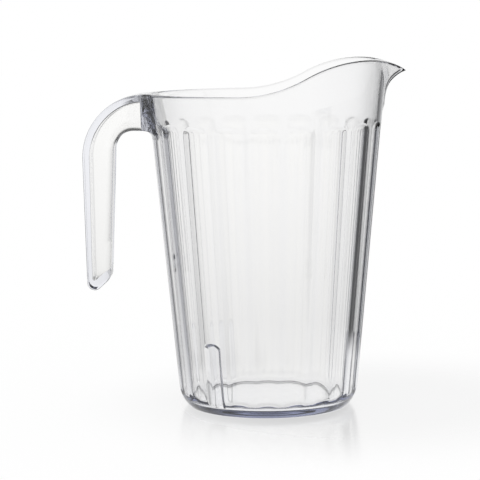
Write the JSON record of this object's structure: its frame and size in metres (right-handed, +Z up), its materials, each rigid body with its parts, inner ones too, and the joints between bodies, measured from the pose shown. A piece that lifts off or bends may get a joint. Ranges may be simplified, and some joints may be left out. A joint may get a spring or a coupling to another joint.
{
  "type": "beer pitcher",
  "caption": "Clear plastic pitcher with a tapering fluted body, a rim drawn up to a keeled pouring lip and a J-shaped open handle.",
  "frame": {"origin": "centre of the foot, on the table that the pitcher stands on", "axes": "+Z up along the jug's axis, +X towards the pouring lip, -X towards the handle"},
  "size_m": [0.1927, 0.1408, 0.2063],
  "materials": {
    "clear_body": "clear polished plastic",
    "clear_handle": "clear polished plastic"
  },
  "bodies": {
    "root": {"jug_body": "clear_body", "base": "clear_body", "handle": "clear_handle", "stacking_lug_1": "clear_body", "stacking_lug_2": "clear_body", "stacking_lug_3": "clear_body"}
  },
  "joints": []
}
